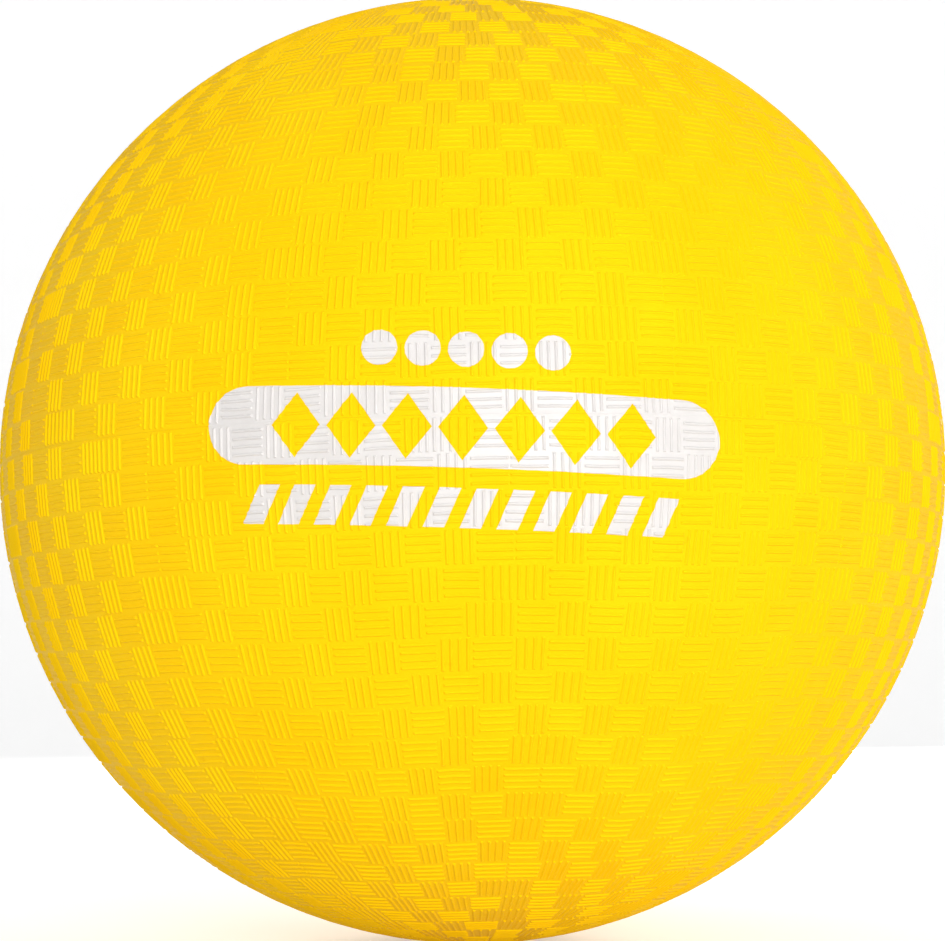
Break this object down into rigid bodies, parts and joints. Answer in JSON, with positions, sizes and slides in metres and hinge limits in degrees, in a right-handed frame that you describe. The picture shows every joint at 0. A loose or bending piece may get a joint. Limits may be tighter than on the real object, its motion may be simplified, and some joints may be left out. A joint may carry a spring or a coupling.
{
  "type": "playground ball",
  "caption": "Hollow rubber playground ball: a basket-weave textured cover with a white print, over a nylon-wound carcass and a bladder with a needle valve.",
  "frame": {"origin": "the ball's centre", "axes": "+Z from the centre out through the needle valve, -Y out through the middle of the print, the moulding line in the XY plane"},
  "size_m": [0.216, 0.2162, 0.2158],
  "materials": {
    "cover_rubber": "satin",
    "ply_rubber": "matte",
    "winding_nylon": "satin",
    "bladder_rubber": "satin",
    "valve_rubber": "matte",
    "plug_rubber": "satin",
    "print_ink": "satin"
  },
  "bodies": {
    "ball": {"cover_upper": "cover_rubber", "cover_lower": "cover_rubber", "carcass_ply": "ply_rubber", "nylon_winding": "winding_nylon", "bladder": "bladder_rubber", "valve_patch": "bladder_rubber", "valve_housing": "valve_rubber", "print_band": "print_ink", "print_discs": "print_ink", "print_bars": "print_ink"},
    "plug": {"valve_plug": "plug_rubber"}
  },
  "joints": [
    {"name": "plug_pull", "type": "slide", "parent": "ball", "child": "plug", "axis": [0, 0, 1], "range_m": [0, 0.014]}
  ]
}
